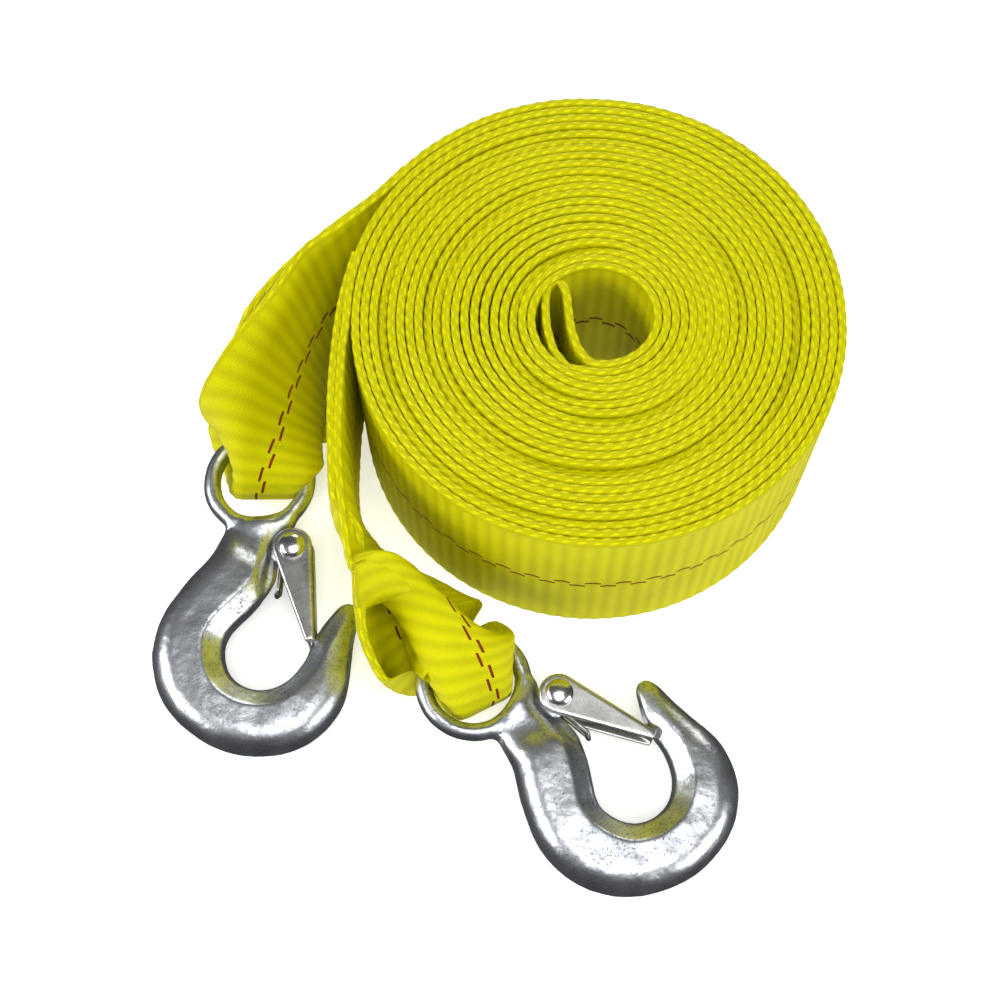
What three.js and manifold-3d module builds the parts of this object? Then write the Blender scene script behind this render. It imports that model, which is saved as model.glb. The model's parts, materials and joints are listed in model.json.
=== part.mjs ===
import * as THREE from 'three';
import { mergeVertices } from 'three/addons/utils/BufferGeometryUtils.js';
import Module from 'manifold-3d';

const wasm = await Module();
wasm.setup();

// Webbing: one long band, folded in half and wound from the fold.
const webbingWidth = 50;
const webbingThickness = 2.1;
const pairPitch = 4.16;          // radial room of one doubled turn
const plyGap = 0.3;              // between the two plies of a doubled length
const edgeSag = 0.8;             // the tails' edges lie this much inside the roll's ends
const rollRadius = 57.8;
const boreRadius = 13.6;
const grooveDepth = 0.7;         // the turns' edges on both ends of the roll
const grooveWidth = 0.8;
const rollSides = 44;

// The hairpin at the middle of the band, which stands inside the bore.
const hairpinGap = 1.6;          // slot between its two legs
const hairpinReach = 9;          // from the roll's axis to the hairpin's middle, to the left
const hairpinTop = 9;            // how far past the axis its bend reaches
const hairpinSweep = 3;          // the near leg turns to the right by this much at its foot

// Hooks: two like forgings. A hook's own frame has its origin at the middle of the eye,
// +X towards the bowl and +Y towards the throat.
const eyeRadius = 11.7;          // to the middle of the bar
const eyeBar = 4.6;
const bowlX = 43;                // from the eye's middle to the bowl's middle
const bowlRadius = 9.6;          // the hollow of the bowl
const bowlThickness = 15.8;      // in the plane of the hook
const bowlHeight = 12.6;         // across the plane of the hook
const neckWidth = 15;
const neckHeight = 7;
const shankWidth = 17.4;
const shankHeight = 10.5;
// Sections down the forging: first past the bar of the eye, then round the bowl, then at the tip.
const neckSections = [
  { past: -1, aside: 0, width: 8, height: 5 },
  { past: 4.5, aside: -0.8, width: neckWidth, height: neckHeight },
  { past: 11, aside: -4.4, width: shankWidth, height: shankHeight },
  { past: 18, aside: -10.4, width: shankWidth, height: bowlHeight - 1 },
];
const bowlSections = [
  { degrees: -112, inset: 0, width: bowlThickness + 0.6, height: bowlHeight },
  { degrees: -78, inset: 0, width: bowlThickness, height: bowlHeight },
  { degrees: -46, inset: 0, width: bowlThickness, height: bowlHeight },
  { degrees: -16, inset: 0, width: bowlThickness, height: bowlHeight },
  { degrees: 12, inset: 0, width: bowlThickness - 0.6, height: bowlHeight },
  { degrees: 38, inset: 0.8, width: 13.4, height: bowlHeight - 0.6 },
  { degrees: 63, inset: 1.6, width: 10.6, height: bowlHeight - 1.8 },
];
const tipSections = [
  { before: 1.6, aside: 17.9, width: 8.2, height: 8.6 },
  { before: 5.4, aside: 19.3, width: 6.8, height: 7.2 },
  { before: 8.4, aside: 20.2, width: 3.8, height: 4 },
];

// Latch: a bent sheet channel on a rivet, with a wire spring.
const rivetX = 18.6;
const rivetY = 7.8;
const rivetDiameter = 3.6;
const rivetHeadDiameter = 7.2;
const rivetHeadHeight = 2.2;
const rivetRim = 0.5;            // the straight edge under the dome
const bossThickness = 3;
const bossDiameter = 9;
const springWire = 1;
const springPlay = 0.3;          // between the coil and its clearance round the pin
const springStart = 60;          // degrees, where the coil's wire begins
const springWind = 300;
const springLeg = [[4.6, -1.2, 1], [7.2, -2.2, 0.8], [8.2, -2.5, 0]];  // along, aside, share of the height
const latchSheet = 1.1;
const latchEndRadius = 4.8;
const latchReach = 24.2;         // from the rivet to the latch's point
const latchRise = 4.1;           // the point lies this much nearer to the throat than the rivet
const latchTipDepth = 1.8;
const latchWeb = 1.7;            // the web's depth at the rivet
const latchEndStop = 281;        // degrees, where the round end runs into the lower edge
const latchOpening = 28;         // degrees
const clearance = 0.3;

// The webbing's loops round the far bar of each eye.
const loopWidth = 12;
const loopThickness = 2.4;
const loopRoom = 2.6;              // between the bar and the loop, all round
const barHeight = 10.4;          // the enclosed bar's middle above the floor

const hooks = [
  { side: 'left', eye: [-81.3, -24.6], heading: -85.6, pull: -92 },
  { side: 'right', eye: [-28, -76.2], heading: -31.9, pull: -57 },
];

const radians = THREE.MathUtils.degToRad;
const vector = (x, y, z) => new THREE.Vector3(x, y, z);

function solid(geometry) {
  const bare = geometry.clone();
  bare.deleteAttribute('normal');
  bare.deleteAttribute('uv');
  const merged = mergeVertices(bare, 1e-4);
  return new wasm.Manifold(new wasm.Mesh({
    numProp: 3,
    vertProperties: new Float32Array(merged.attributes.position.array),
    triVerts: new Uint32Array(merged.index.array),
  }));
}

function shape(manifold) {
  const mesh = manifold.getMesh();
  const geometry = new THREE.BufferGeometry();
  geometry.setAttribute('position', new THREE.BufferAttribute(new Float32Array(mesh.vertProperties), 3));
  geometry.setIndex(new THREE.BufferAttribute(new Uint32Array(mesh.triVerts), 1));
  return geometry;
}

const joined = (solids) => solids.reduce((sum, next) => sum.add(next));

// A closed body along a curve: every section is a rounded oblong, width by height.
function forged(points, sizes, sides, steps) {
  const curve = new THREE.CatmullRomCurve3(points, false, 'centripetal');
  const sizeCurve = new THREE.CatmullRomCurve3(sizes, false, 'catmullrom');
  const geometry = new THREE.CylinderGeometry(1, 1, 1, sides, steps, false);
  const position = geometry.attributes.position;
  const up = vector(0, 0, 1);
  for (let i = 0; i < position.count; i += 1) {
    const along = 0.5 - position.getY(i);
    const size = sizeCurve.getPoint(along);
    const tangent = curve.getTangent(along);
    const sideways = up.clone().cross(tangent).normalize();
    const across = position.getX(i) * size.x / 2;
    const height = position.getZ(i) * size.y / 2;
    const place = curve.getPoint(along).addScaledVector(sideways, across).addScaledVector(up, height);
    position.setXYZ(i, place.x, place.y, place.z);
  }
  return geometry;
}

// A band of webbing along a curve. Each station gives the middle of the band, the direction
// of its width, and its width and thickness there.
function band(stations, steps) {
  const middle = new THREE.CatmullRomCurve3(stations.map((s) => s.at), false, 'centripetal');
  const turn = new THREE.CatmullRomCurve3(stations.map((s) => s.across), false, 'catmullrom');
  const size = new THREE.CatmullRomCurve3(stations.map((s) => vector(s.width, s.thickness, 0)));
  const geometry = new THREE.BoxGeometry(1, 1, 1, 2, 1, steps);
  const position = geometry.attributes.position;
  for (let i = 0; i < position.count; i += 1) {
    const along = position.getZ(i) + 0.5;
    const tangent = middle.getTangent(along);
    const across = turn.getPoint(along);
    across.addScaledVector(tangent, -across.dot(tangent)).normalize();
    const face = tangent.clone().cross(across).normalize();
    const { x: width, y: thickness } = size.getPoint(along);
    const place = middle.getPoint(along)
      .addScaledVector(across, position.getX(i) * width)
      .addScaledVector(face, position.getY(i) * thickness);
    position.setXYZ(i, place.x, place.y, place.z);
  }
  return geometry;
}

// The roll is turned: its ends show the edge of each doubled turn, with a groove between.
function rollSolid() {
  const turns = Math.round((rollRadius - boreRadius) / pairPitch);
  const pitch = (rollRadius - boreRadius) / turns;
  const end = [[boreRadius, 0]];
  for (let turn = 1; turn < turns; turn += 1) {
    const radius = boreRadius + turn * pitch;
    end.push([radius - grooveWidth / 2, 0], [radius, grooveDepth], [radius + grooveWidth / 2, 0]);
  }
  end.push([rollRadius, 0]);
  const bottom = end.map(([radius, depth]) => new THREE.Vector2(radius, depth));
  const top = end.map(([radius, depth]) => new THREE.Vector2(radius, webbingWidth - depth)).reverse();
  const roll = new THREE.LatheGeometry([...bottom, ...top, bottom[0].clone()], rollSides);
  return solid(roll.rotateX(Math.PI / 2));
}

// The fold in the bore: two legs and a bend, standing on edge like the turns.
function hairpinSolid() {
  const outer = hairpinGap / 2 + webbingThickness;
  const inner = hairpinGap / 2;
  const bendHeight = hairpinTop - outer;
  const foot = -boreRadius * 0.96;
  const outline = new THREE.Shape();
  outline.moveTo(-outer, foot * 0.8);
  outline.lineTo(-inner, foot * 0.8);
  outline.lineTo(-inner, bendHeight);
  outline.absarc(0, bendHeight, inner, Math.PI, 0, true);
  outline.lineTo(inner, 0);
  outline.lineTo(inner + hairpinSweep * 0.3, foot * 0.5);
  outline.lineTo(inner + hairpinSweep, foot);
  outline.lineTo(outer + hairpinSweep, foot);
  outline.lineTo(outer + hairpinSweep * 0.3, foot * 0.5);
  outline.lineTo(outer, 0);
  outline.lineTo(outer, bendHeight);
  outline.absarc(0, bendHeight, outer, 0, Math.PI, false);
  outline.closePath();
  const prism = new THREE.ExtrudeGeometry(outline, {
    depth: webbingWidth - grooveDepth, bevelEnabled: false, curveSegments: 6,
  });
  return solid(prism.translate(-hairpinReach, 0, 0));
}

// Where a hook's enclosed bar lies, and which way the webbing pulls on it.
function anchor(hook) {
  const pull = radians(hook.pull);
  const forward = vector(Math.cos(pull), Math.sin(pull), 0);
  const right = vector(Math.sin(pull), -Math.cos(pull), 0);
  const bar = vector(hook.eye[0], hook.eye[1], barHeight).addScaledVector(forward, -eyeRadius);
  return { forward, right, bar };
}

// The stations of the loop round the bar, from above it to below it.
function loopStations(hook) {
  const { forward, right, bar } = anchor(hook);
  const radius = eyeBar / 2 + loopRoom + loopThickness / 2;
  const stations = [];
  const parts = 6;
  for (let part = 0; part <= parts; part += 1) {
    const angle = Math.PI * (0.5 - part / parts);
    const at = bar.clone()
      .addScaledVector(forward, radius * Math.cos(angle))
      .add(vector(0, 0, radius * Math.sin(angle)));
    stations.push({ at, across: right.clone(), width: loopWidth, thickness: loopThickness });
  }
  return stations;
}

function onRoll(radius, degrees, across = vector(0, 0, 1)) {
  const angle = radians(degrees);
  return {
    at: vector(radius * Math.cos(angle), radius * Math.sin(angle), webbingWidth / 2),
    across,
    width: webbingWidth - edgeSag,
    thickness: webbingThickness,
  };
}

function station(at, across, width, thickness = webbingThickness) {
  return { at: vector(...at), across: vector(...across), width, thickness };
}

// The outermost turn leaves the roll at the far left and lies down towards the left hook.
function leftTail() {
  const outer = rollRadius - webbingThickness / 2;
  const loop = loopStations(hooks[0]);
  const down = [
    onRoll(outer - 1.5, 112), onRoll(outer, 126), onRoll(outer + 0.6, 139),
    station([-57.5, 25.5, 25], [0, 0, 1], webbingWidth - edgeSag),
    station([-69, 13.5, 24.5], [-0.32, 0.1, 0.93], 46),
    station([-77.2, 5, 22.5], [-0.7, 0.1, 0.7], 38),
    station([-80.5, -4, 19.5], [-0.93, 0.1, 0.36], 27),
  ];
  const back = [
    station([-81.2, -3, 8.5], [-0.98, 0.1, 0.16], 20),
    station([-79.6, 2.5, 14.5], [-0.88, 0.1, 0.45], 28),
    station([-76.6, 6.4, 22.6], [-0.7, 0.1, 0.7], 34),
  ];
  return solid(band([...down, ...loop, ...back], 64));
}

// The next turn leaves at the near left, doubled by its sewn end, then opens into its loop.
function rightTail() {
  const outer = rollRadius - webbingThickness;
  const doubled = 2 * webbingThickness + plyGap;
  const loop = loopStations(hooks[1]);
  const down = [
    onRoll(outer - 1.5, 150), onRoll(outer + 0.4, 166),
    station([-58.6, -2, 25], [0, 0, 1], webbingWidth - edgeSag, doubled),
    station([-60.3, -20, 25], [0, 0, 1], webbingWidth - edgeSag, doubled),
    station([-60.6, -36, 25.6], [-0.06, 0, 1], webbingWidth - 2, doubled),
    station([-58.2, -50, 28], [-0.25, -0.05, 0.96], 42, doubled),
  ];
  const upper = [
    station([-60.2, -41, 26.6], [-0.14, 0, 0.98], 42),
    station([-58.6, -48, 27.8], [-0.22, 0, 0.97], 40),
    station([-55.4, -53.5, 28.5], [-0.38, -0.1, 0.9], 38),
    station([-48.5, -57.6, 27.5], [-0.6, -0.3, 0.73], 33),
    station([-41.6, -60, 22.4], [-0.78, -0.5, 0.36], 25),
  ];
  const lower = [
    station([-44.6, -62.4, 7.6], [-0.66, -0.4, 0.62], 16),
    station([-51.6, -62.6, 17], [-0.3, -0.2, 0.92], 26),
    station([-57.4, -54, 26], [-0.26, -0.06, 0.95], 34),
    station([-59.8, -46.4, 27.2], [-0.2, 0, 0.97], 39),
    station([-60.8, -38.5, 26], [-0.14, 0, 0.98], 42),
  ];
  return joined([solid(band(down, 18)), solid(band([...upper, ...loop, ...lower], 48))]);
}

// The forging, in the hook's own frame.
function hookSolid() {
  const middle = bowlRadius + bowlThickness / 2;
  const points = [
    ...neckSections.map(({ past, aside }) => vector(eyeRadius + past, aside, 0)),
    ...bowlSections.map(({ degrees, inset }) => vector(
      bowlX + (middle - inset) * Math.cos(radians(degrees)),
      (middle - inset) * Math.sin(radians(degrees)),
      0,
    )),
    ...tipSections.map(({ before, aside }) => vector(bowlX - before, aside, 0)),
  ];
  const sizes = [...neckSections, ...bowlSections, ...tipSections]
    .map(({ width, height }) => vector(width, height, 0));
  const body = solid(forged(points, sizes, 14, 34));
  const eye = solid(new THREE.TorusGeometry(eyeRadius, eyeBar / 2, 8, 28));
  const boss = solid(new THREE.CylinderGeometry(bossDiameter / 2, bossDiameter / 2, bossThickness, 20)
    .rotateX(Math.PI / 2).translate(rivetX, rivetY, 0));
  const recess = joined([-1, 1].map((face) => latchSweep()
    .translate([0, 0, face > 0 ? bossThickness / 2 : -bossThickness / 2 - bowlHeight])));
  const hole = solid(new THREE.CylinderGeometry(rivetDiameter / 2 + clearance, rivetDiameter / 2 + clearance,
    bowlHeight, 16).rotateX(Math.PI / 2).translate(rivetX, rivetY, 0));
  return joined([body, eye]).subtract(recess).add(boss).subtract(hole);
}

// A cheek of the latch about its rivet, grown by a margin and turned towards the bowl.
function cheekSolid(thickness, margin, opened) {
  const radius = latchEndRadius + margin;
  const length = latchReach + margin;
  const lean = Math.atan2(latchRise, latchReach);
  const depth = latchTipDepth + margin;
  const outline = new THREE.Shape();
  outline.absarc(0, 0, radius, Math.PI / 2, radians(latchEndStop), false);
  outline.lineTo(length, -depth);
  outline.lineTo(length, margin);
  outline.closePath();
  return solid(new THREE.ExtrudeGeometry(outline, {
    depth: thickness, bevelEnabled: false, curveSegments: 12,
  }).rotateZ(lean - radians(opened)).translate(rivetX, rivetY, 0));
}

// Room in the forging for the latch, closed and open, on one face of the boss.
function latchSweep() {
  return joined([0, 0.5, 1].map((share) => cheekSolid(bowlHeight, clearance, latchOpening * share)));
}

const innerWidth = bossThickness + 2 * (springWire + 2 * clearance);
const outerWidth = innerWidth + 2 * latchSheet;

// The latch: two cheeks and the web that joins them on the throat side.
function latchSolid() {
  const envelope = cheekSolid(outerWidth, 0, 0).translate([0, 0, -outerWidth / 2]);
  const lean = Math.atan2(latchRise, latchReach);
  const hollowLength = 2 * latchReach + 2 * latchEndRadius;
  const hollow = solid(new THREE.BoxGeometry(hollowLength, 2 * latchEndRadius, innerWidth)
    .translate(latchReach - latchEndRadius, -latchWeb, 0)
    .rotateZ(lean).translate(rivetX, rivetY, 0));
  const hole = solid(new THREE.CylinderGeometry(rivetDiameter / 2 + clearance, rivetDiameter / 2 + clearance,
    outerWidth + 2, 16).rotateX(Math.PI / 2).translate(rivetX, rivetY, 0));
  const roomRadius = bossDiameter / 2 + clearance;
  const bossRoom = solid(new THREE.CylinderGeometry(roomRadius, roomRadius, innerWidth, 24).rotateX(Math.PI / 2).translate(rivetX, rivetY, 0));
  return envelope.subtract(hollow).subtract(bossRoom).subtract(hole);
}

// The rivet: a pin with a domed head on each side.
function rivetSolid() {
  const pin = rivetDiameter / 2;
  const head = rivetHeadDiameter / 2;
  const seat = outerWidth / 2 + clearance;
  const dome = [];
  for (let part = 0; part <= 4; part += 1) {
    const angle = Math.PI / 2 * part / 4;
    dome.push([head * Math.cos(angle), seat + rivetRim + (rivetHeadHeight - rivetRim) * Math.sin(angle)]);
  }
  const half = [[pin, seat], [head, seat], ...dome];
  const upper = half.map(([radius, height]) => new THREE.Vector2(Math.max(radius, 0), height));
  upper[upper.length - 1].x = 0;
  const lower = [...upper].reverse().map((point) => new THREE.Vector2(point.x, -point.y));
  return solid(new THREE.LatheGeometry([...lower, ...upper], 16)
    .rotateX(Math.PI / 2).translate(rivetX, rivetY, 0));
}

// The spring: a coil on each side of the boss, and a looped leg that bears on the shank.
function springSolid() {
  const coil = rivetDiameter / 2 + clearance + springWire / 2 + springPlay;
  const side = bossThickness / 2 + clearance + springWire / 2;
  const points = [];
  const turnSteps = 7;
  for (let step = 0; step <= turnSteps; step += 1) {
    const angle = radians(springStart + springWind * step / turnSteps);
    points.push(vector(coil * Math.cos(angle), coil * Math.sin(angle), side));
  }
  const legs = springLeg.map(([along, aside, share]) => vector(along, aside, side * share));
  const near = [...points, ...legs];
  const far = [...near].reverse().slice(1).map((point) => vector(point.x, point.y, -point.z));
  const path = new THREE.CatmullRomCurve3([...near, ...far], false, 'centripetal');
  const section = new THREE.Shape().absarc(0, 0, springWire / 2, 0, 2 * Math.PI, false);
  return solid(new THREE.ExtrudeGeometry(section, {
    steps: 44, curveSegments: 4, bevelEnabled: false, extrudePath: path,
  }).translate(rivetX, rivetY, 0));
}

const webbingLook = new THREE.MeshStandardMaterial({ color: 0xd2d200, roughness: 0.62, metalness: 0 });
const steelLook = new THREE.MeshStandardMaterial({ color: 0x9c9ca0, roughness: 0.34, metalness: 1 });
const sheetLook = new THREE.MeshStandardMaterial({ color: 0x8a8a86, roughness: 0.3, metalness: 1 });

function piece(name, manifold, material) {
  const mesh = new THREE.Mesh(shape(manifold), material);
  mesh.name = name;
  return mesh;
}

// A hook stands on the edge of its bowl, with its eye lifted by the webbing under the bar.
function hookGroup(hook) {
  const { bar } = anchor(hook);
  const pieces = new THREE.Group();
  pieces.add(
    piece(`hook_${hook.side}`, hookSolid(), steelLook),
    piece(`latch_${hook.side}`, latchSolid(), sheetLook),
    piece(`rivet_${hook.side}`, rivetSolid(), steelLook),
    piece(`spring_${hook.side}`, springSolid(), sheetLook),
  );
  pieces.position.set(eyeRadius, 0, 0);
  pieces.rotation.z = radians(hook.heading - hook.pull);
  const tilted = new THREE.Group();
  tilted.add(pieces);
  const placed = new THREE.Group();
  placed.add(tilted);
  placed.position.copy(bar);
  placed.rotation.z = radians(hook.pull);
  for (let round = 0; round < 4; round += 1) {
    placed.updateMatrixWorld(true);
    const lowest = new THREE.Box3().setFromObject(placed, true).min.z;
    tilted.rotation.y += lowest / (eyeRadius + bowlX);
  }
  return placed;
}

const webbing = joined([rollSolid(), hairpinSolid(), leftTail(), rightTail()]);
const strap = new THREE.Group();
strap.add(piece('webbing', webbing, webbingLook), ...hooks.map(hookGroup));

// The origin is at the middle of the footprint, on the floor.
strap.updateMatrixWorld(true);
const reach = new THREE.Box3().setFromObject(strap, true);
strap.position.set(-(reach.min.x + reach.max.x) / 2, -(reach.min.y + reach.max.y) / 2, -reach.min.z);

export default strap;
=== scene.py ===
import json
import math
import bpy
import numpy as np
from mathutils import Matrix, Vector, noise


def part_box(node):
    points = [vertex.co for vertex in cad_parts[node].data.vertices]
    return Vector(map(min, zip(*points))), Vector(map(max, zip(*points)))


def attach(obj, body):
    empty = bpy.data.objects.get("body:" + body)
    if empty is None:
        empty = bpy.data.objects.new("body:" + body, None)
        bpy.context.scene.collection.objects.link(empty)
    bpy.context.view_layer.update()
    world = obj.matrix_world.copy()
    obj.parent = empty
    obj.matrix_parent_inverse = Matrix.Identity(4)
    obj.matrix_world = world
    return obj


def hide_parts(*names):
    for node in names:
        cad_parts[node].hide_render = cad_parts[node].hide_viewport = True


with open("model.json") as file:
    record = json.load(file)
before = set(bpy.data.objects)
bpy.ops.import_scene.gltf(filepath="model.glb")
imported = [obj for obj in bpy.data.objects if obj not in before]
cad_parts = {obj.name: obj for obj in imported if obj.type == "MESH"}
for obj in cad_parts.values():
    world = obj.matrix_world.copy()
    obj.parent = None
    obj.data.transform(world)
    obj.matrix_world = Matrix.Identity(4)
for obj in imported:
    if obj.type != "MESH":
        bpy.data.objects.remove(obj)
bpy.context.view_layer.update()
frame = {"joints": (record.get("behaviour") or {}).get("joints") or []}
mm = 0.001
joints = {joint["name"]: joint for joint in frame["joints"]}
print("frame loaded")


# ---- camera, floor and lights

studio = {
    "cameraPlace": (0.000905, -0.1527, 0.3828),
    "cameraElevation": 67.26,    # degrees below the horizon
    "lens": 59.04,
    "sensor": 36.0,
    "floorSize": 6.0,
    "floorColour": (0.93, 0.93, 0.93),
    "floorGlow": 0.5,
    "worldColour": (0.62, 0.64, 0.66),
    "worldStrength": 0.12,
    # place, size, power
    "softboxes": {
        "leftBox": ((-0.8, -0.2, 0.5), (0.6, 0.4), 6.2),
        "rightBox": ((0.75, -0.5, 0.42), (0.5, 0.4), 4.6),
        "backBox": ((0.25, 0.95, 0.6), (0.8, 0.3), 5.6),
        "topBox": ((0.05, -0.28, 1.0), (0.6, 0.6), 5.6),
    },
}


def setCamera():
    lens = bpy.data.cameras.new("studioCamera")
    lens.lens = studio["lens"]
    lens.sensor_width = studio["sensor"]
    camera = bpy.data.objects.new("studioCamera", lens)
    bpy.context.scene.collection.objects.link(camera)
    camera.location = studio["cameraPlace"]
    camera.rotation_euler = (math.radians(90 - studio["cameraElevation"]), 0, 0)
    bpy.context.scene.camera = camera


def setLights():
    for name, (place, size, power) in studio["softboxes"].items():
        lamp = bpy.data.lights.new(name, "AREA")
        lamp.shape = "RECTANGLE"
        lamp.size, lamp.size_y = size
        lamp.energy = power
        box = bpy.data.objects.new(name, lamp)
        bpy.context.scene.collection.objects.link(box)
        box.location = place
        box.rotation_euler = (-Vector(place)).to_track_quat("-Z", "Y").to_euler()
    world = bpy.data.worlds.new("studioWorld")
    world.use_nodes = True
    background = world.node_tree.nodes["Background"]
    background.inputs["Color"].default_value = (*studio["worldColour"], 1)
    background.inputs["Strength"].default_value = studio["worldStrength"]
    bpy.context.scene.world = world
    bpy.context.scene.view_settings.view_transform = "Standard"


# ---- shader maths

class Wire:
    # a shader socket that adds, subtracts and multiplies as a number does
    def __init__(self, bench, socket):
        self.bench = bench
        self.socket = socket

    def maths(self, operation, *others):
        return self.bench.node("ShaderNodeMath", {"operation": operation},
                               {place: other for place, other in enumerate((self, *others))})

    def __add__(self, other):
        return self.maths("ADD", other)

    def __radd__(self, other):
        return self.maths("ADD", other)

    def __mul__(self, other):
        return self.maths("MULTIPLY", other)

    def __rmul__(self, other):
        return self.maths("MULTIPLY", other)

    def __sub__(self, other):
        return self.maths("SUBTRACT", other)

    def __rsub__(self, other):
        return self.bench.node("ShaderNodeMath", {"operation": "SUBTRACT"},
                               {0: other, 1: self})

    def __truediv__(self, other):
        return self.maths("DIVIDE", other)

    def __gt__(self, other):
        return self.maths("GREATER_THAN", other)

    def __lt__(self, other):
        return self.maths("LESS_THAN", other)

    def __abs__(self):
        return self.maths("ABSOLUTE")

    def sine(self):
        return self.maths("SINE")

    def cosine(self):
        return self.maths("COSINE")

    def fraction(self):
        return self.maths("FRACT")

    def power(self, other):
        return self.maths("POWER", other)

    def lower(self, other):
        return self.maths("MINIMUM", other)

    def higher(self, other):
        return self.maths("MAXIMUM", other)

    def ramp(self, low, high, start=0.0, end=1.0):
        # goes smoothly from start to end while the wire goes from low to high
        return self.bench.node("ShaderNodeMapRange", {"interpolation_type": "SMOOTHSTEP"},
                               {"Value": self, "From Min": low, "From Max": high,
                                "To Min": start, "To Max": end})


class Bench:
    # the node tree of one material
    def __init__(self, name):
        self.material = bpy.data.materials.new(name)
        self.material.use_nodes = True
        self.tree = self.material.node_tree
        self.shader = self.tree.nodes["Principled BSDF"]

    def node(self, kind, settings=None, sockets=None, output=0):
        made = self.tree.nodes.new(kind)
        for key, value in (settings or {}).items():
            if key == "stops":
                while len(made.color_ramp.elements) < len(value):
                    made.color_ramp.elements.new(0.5)
                for element, (place, colour) in zip(made.color_ramp.elements, value):
                    element.position = place
                    element.color = (*colour, 1)
            else:
                setattr(made, key, value)
        for key, value in (sockets or {}).items():
            if isinstance(value, Wire):
                self.tree.links.new(value.socket, made.inputs[key])
            else:
                made.inputs[key].default_value = value
        return Wire(self, made.outputs[output])

    def mix(self, share, first, second):
        return self.node("ShaderNodeMix", {"data_type": "RGBA"},
                         {0: share, 6: self.colour(first), 7: self.colour(second)}, 2)

    def colour(self, value):
        return value if isinstance(value, Wire) else (*value, 1)

    def noise(self, place, scale, detail=2.0, roughness=0.5):
        return self.node("ShaderNodeTexNoise", {},
                         {"Vector": place, "Scale": scale, "Detail": detail, "Roughness": roughness})

    def bump(self, height, distance, strength=1.0, after=None):
        sockets = {"Height": height, "Distance": distance, "Strength": strength}
        if after is not None:
            sockets["Normal"] = after
        return self.node("ShaderNodeBump", {}, sockets)

    def objectPlace(self):
        return self.node("ShaderNodeTexCoord", {}, {}, "Object")

    def finish(self, **sockets):
        for name, value in sockets.items():
            label = name.replace("_", " ")
            if isinstance(value, Wire):
                self.tree.links.new(value.socket, self.shader.inputs[label])
            else:
                self.shader.inputs[label].default_value = value
        return self.material


# ---- materials

webbingLook = {
    "thread": (0.72, 0.69, 0.0),
    # shadedThread is the dark end of the thread's colour: painted shade in the rib valleys, between yarns
    # and between the selvedge loops, mixed with random tone
    "shadedThread": (0.36, 0.34, 0.0),
    "shine": (0.95, 0.95, 0.12, 1.0),
    "tracer": (0.17, 0.004, 0.003),
    "tracerRow": 0.85,           # mm from the middle to each row of dashes
    "tracerWidth": 0.4,          # mm, half a dash
    "ribPitch": 3.5,             # mm
    "warpPitch": 0.55,           # mm
    "speckRow": 0.5,             # across the edge, in half thicknesses
}


def webbingMaterial():
    look = webbingLook
    bench = Bench("webbingWeave")
    weave = bench.node("ShaderNodeUVMap", {"uv_map": "weave"})
    selvedge = bench.node("ShaderNodeUVMap", {"uv_map": "edge"})
    # mm along the webbing, mm across it, and -1 to 1 through its thickness
    along = bench.node("ShaderNodeSeparateXYZ", {}, {0: weave}) * 1000
    across = bench.node("ShaderNodeSeparateXYZ", {}, {0: weave}, 1) * 1000
    side = bench.node("ShaderNodeSeparateXYZ", {}, {0: selvedge}, 1) * 1000
    place = bench.node("ShaderNodeCombineXYZ", {}, {0: along, 1: across, 2: side})

    turn = 2 * math.pi / look["ribPitch"]
    rib = (along * turn).cosine() * 0.5 + 0.5
    warp = (across * (2 * math.pi / look["warpPitch"])).cosine() * 0.5 + 0.5
    pick = (along * (2 * math.pi / 0.7) + across * 5.7).cosine() * 0.5 + 0.5
    edge = abs(across).ramp(23.2, 24.4)          # 1 on the selvedge

    # the selvedge is plaited: two rows of long specks, half a pitch apart; in the colour they are painted
    # highlights on the yarn loops
    def specks(row, shift):
        phase = (along / look["ribPitch"] + shift).fraction() - 0.5
        lean = side - row + phase * 0.5
        return 1 - ((phase / 0.34).power(2) + (lean / 0.36).power(2)).ramp(0.15, 1.15)
    plaitAndGlints = specks(look["speckRow"], 0.0).higher(specks(-look["speckRow"], 0.5))

    # two rows of short tracer stitches, in turn
    def dashes(row, shift):
        inRow = abs(across - row) < look["tracerWidth"]
        phase = (along / (2 * look["ribPitch"]) + shift).fraction()
        return inRow * (phase < 0.52)
    tracer = dashes(look["tracerRow"], 0.0).higher(dashes(-look["tracerRow"], 0.5))

    drift = bench.noise(place, 0.08, 3.0)
    stretched = bench.node("ShaderNodeCombineXYZ", {}, {0: along * 0.5, 1: across * 3, 2: side * 3})
    fibre = bench.noise(stretched, 1.6, 3.0, 0.6)
    # on the faces the rib and warp terms paint shade into the valleys between ribs and between yarns; drift
    # is random tone
    flatShade = (rib * 0.2 + warp * 0.12 + 0.62) * (drift * 0.4 + 0.75)
    # on the selvedge the plait term paints highlights on the yarn loops and shade between them; fibre and
    # drift are random tone
    edgeShade = plaitAndGlints * 0.4 + fibre * 0.3 + drift * 0.3 + 0.28
    shade = flatShade + edge * (edgeShade - flatShade)
    colour = bench.mix(shade.ramp(0.25, 1.0), look["shadedThread"], look["thread"])
    colour = bench.mix(tracer * (1 - edge), colour, look["tracer"])
    rough = 0.5 - edge * plaitAndGlints * 0.18 + fibre * 0.1 - (1 - edge) * rib * 0.08

    flatRelief = rib * 0.2 + warp * 0.12 + pick * warp * 0.12 + fibre * 0.08
    edgeRelief = plaitAndGlints * 0.4 + fibre * 0.2
    relief = flatRelief + edge * (edgeRelief - flatRelief)
    normal = bench.bump(relief, 0.0004, 0.8)
    return bench.finish(Base_Color=colour, Roughness=rough, Normal=normal, Specular_Tint=look["shine"],
                        Specular_IOR_Level=0.6)


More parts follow.
